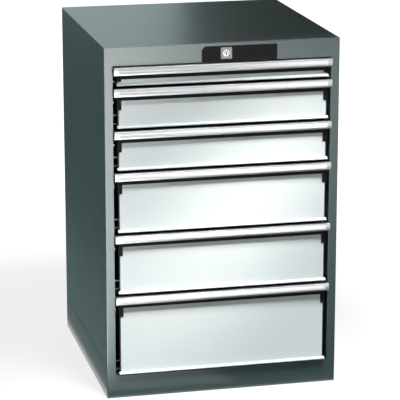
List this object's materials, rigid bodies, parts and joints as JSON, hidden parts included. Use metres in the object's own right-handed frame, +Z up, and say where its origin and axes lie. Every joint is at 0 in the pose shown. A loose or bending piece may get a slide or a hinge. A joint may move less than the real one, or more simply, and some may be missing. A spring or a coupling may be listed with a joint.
{
  "type": "modular drawer cabinet",
  "caption": "Floor-standing sheet-steel drawer cabinet with full-extension drawers on telescopic rails, full-width handle strips and a central lock in the header.",
  "frame": {"origin": "centre of the footprint on the floor, handle strips included", "axes": "+Z up, +X to the right seen from the front, +Y from the drawer fronts to the back"},
  "size_m": [0.564, 0.588, 0.85],
  "materials": {
    "housing_paint": "dark grey-green paint, semi-gloss",
    "column_steel": "dark grey paint, matt",
    "drawer_paint": "light grey paint, semi-gloss",
    "tray_paint": "light grey paint, satin",
    "handle_aluminium": "natural anodised, satin",
    "label_white": "plain white strip under a clear cover",
    "bracket_plastic": "black moulded plastic",
    "rail_steel": "zinc plated",
    "lock_plate_plastic": "black, semi-gloss",
    "escutcheon_plastic": "light grey, satin",
    "lock_chrome": "satin chrome",
    "lock_steel": "zinc plated"
  },
  "bodies": {
    "housing": {"left_side_wall": "housing_paint", "right_side_wall": "housing_paint", "back_wall": "housing_paint", "top_panel": "housing_paint", "header_panel": "housing_paint", "base_pan": "housing_paint", "guide_columns": "column_steel", "left_cabinet_rails": "rail_steel", "right_cabinet_rails": "rail_steel", "lock_plate": "lock_plate_plastic", "lock_escutcheon": "escutcheon_plastic", "lock_body": "lock_steel", "lock_bar_guides": "lock_steel"},
    "drawer_1": {"drawer_1_tray": "tray_paint", "drawer_1_front": "drawer_paint", "drawer_1_handle": "handle_aluminium", "drawer_1_label_strip": "label_white", "drawer_1_handle_brackets": "bracket_plastic", "drawer_1_runners": "rail_steel"},
    "drawer_1_middle_rails": {"drawer_1_middle_rails": "rail_steel"},
    "drawer_2": {"drawer_2_tray": "tray_paint", "drawer_2_front": "drawer_paint", "drawer_2_handle": "handle_aluminium", "drawer_2_label_strip": "label_white", "drawer_2_handle_brackets": "bracket_plastic", "drawer_2_runners": "rail_steel"},
    "drawer_2_middle_rails": {"drawer_2_middle_rails": "rail_steel"},
    "drawer_3": {"drawer_3_tray": "tray_paint", "drawer_3_front": "drawer_paint", "drawer_3_handle": "handle_aluminium", "drawer_3_label_strip": "label_white", "drawer_3_handle_brackets": "bracket_plastic", "drawer_3_runners": "rail_steel"},
    "drawer_3_middle_rails": {"drawer_3_middle_rails": "rail_steel"},
    "drawer_4": {"drawer_4_tray": "tray_paint", "drawer_4_front": "drawer_paint", "drawer_4_handle": "handle_aluminium", "drawer_4_label_strip": "label_white", "drawer_4_handle_brackets": "bracket_plastic", "drawer_4_runners": "rail_steel"},
    "drawer_4_middle_rails": {"drawer_4_middle_rails": "rail_steel"},
    "drawer_5": {"drawer_5_tray": "tray_paint", "drawer_5_front": "drawer_paint", "drawer_5_handle": "handle_aluminium", "drawer_5_label_strip": "label_white", "drawer_5_handle_brackets": "bracket_plastic", "drawer_5_runners": "rail_steel"},
    "drawer_5_middle_rails": {"drawer_5_middle_rails": "rail_steel"},
    "drawer_6": {"drawer_6_tray": "tray_paint", "drawer_6_front": "drawer_paint", "drawer_6_handle": "handle_aluminium", "drawer_6_label_strip": "label_white", "drawer_6_handle_brackets": "bracket_plastic", "drawer_6_runners": "rail_steel"},
    "drawer_6_middle_rails": {"drawer_6_middle_rails": "rail_steel"},
    "lock_cylinder": {"lock_cylinder": "lock_chrome", "lock_cam": "lock_steel"},
    "lock_link": {"lock_link": "lock_steel"},
    "lock_bar": {"lock_bar": "lock_steel", "lock_fingers": "lock_steel"}
  },
  "joints": [
    {"name": "drawer_1_slide", "type": "slide", "parent": "housing", "child": "drawer_1", "axis": [0, -1, 0], "range_m": [0, 0.46]},
    {"name": "drawer_1_middle_slide", "type": "slide", "parent": "housing", "child": "drawer_1_middle_rails", "axis": [0, -1, 0], "range_m": [0, 0.23]},
    {"name": "drawer_2_slide", "type": "slide", "parent": "housing", "child": "drawer_2", "axis": [0, -1, 0], "range_m": [0, 0.46]},
    {"name": "drawer_2_middle_slide", "type": "slide", "parent": "housing", "child": "drawer_2_middle_rails", "axis": [0, -1, 0], "range_m": [0, 0.23]},
    {"name": "drawer_3_slide", "type": "slide", "parent": "housing", "child": "drawer_3", "axis": [0, -1, 0], "range_m": [0, 0.46]},
    {"name": "drawer_3_middle_slide", "type": "slide", "parent": "housing", "child": "drawer_3_middle_rails", "axis": [0, -1, 0], "range_m": [0, 0.23]},
    {"name": "drawer_4_slide", "type": "slide", "parent": "housing", "child": "drawer_4", "axis": [0, -1, 0], "range_m": [0, 0.46]},
    {"name": "drawer_4_middle_slide", "type": "slide", "parent": "housing", "child": "drawer_4_middle_rails", "axis": [0, -1, 0], "range_m": [0, 0.23]},
    {"name": "drawer_5_slide", "type": "slide", "parent": "housing", "child": "drawer_5", "axis": [0, -1, 0], "range_m": [0, 0.46]},
    {"name": "drawer_5_middle_slide", "type": "slide", "parent": "housing", "child": "drawer_5_middle_rails", "axis": [0, -1, 0], "range_m": [0, 0.23]},
    {"name": "drawer_6_slide", "type": "slide", "parent": "housing", "child": "drawer_6", "axis": [0, -1, 0], "range_m": [0, 0.46]},
    {"name": "drawer_6_middle_slide", "type": "slide", "parent": "housing", "child": "drawer_6_middle_rails", "axis": [0, -1, 0], "range_m": [0, 0.23]},
    {"name": "lock_turn", "type": "hinge", "parent": "housing", "child": "lock_cylinder", "pos_m": [0.0065, -0.27, 0.8255], "axis": [0, 1, 0], "range_deg": [0, 90]},
    {"name": "lock_link_slide", "type": "slide", "parent": "housing", "child": "lock_link", "axis": [-1, 0, 0], "range_m": [0, 0.008]},
    {"name": "lock_bar_lift", "type": "slide", "parent": "housing", "child": "lock_bar", "axis": [0, 0, 1], "range_m": [0, 0.008]}
  ],
  "couplings": [
    {"joint": "drawer_1_middle_slide", "follows": "drawer_1_slide", "ratio": 0.5},
    {"joint": "drawer_2_middle_slide", "follows": "drawer_2_slide", "ratio": 0.5},
    {"joint": "drawer_3_middle_slide", "follows": "drawer_3_slide", "ratio": 0.5},
    {"joint": "drawer_4_middle_slide", "follows": "drawer_4_slide", "ratio": 0.5},
    {"joint": "drawer_5_middle_slide", "follows": "drawer_5_slide", "ratio": 0.5},
    {"joint": "drawer_6_middle_slide", "follows": "drawer_6_slide", "ratio": 0.5},
    {"joint": "lock_turn", "follows": "lock_bar_lift", "rad_per_m": 196.35},
    {"joint": "lock_link_slide", "follows": "lock_bar_lift", "ratio": 1}
  ]
}
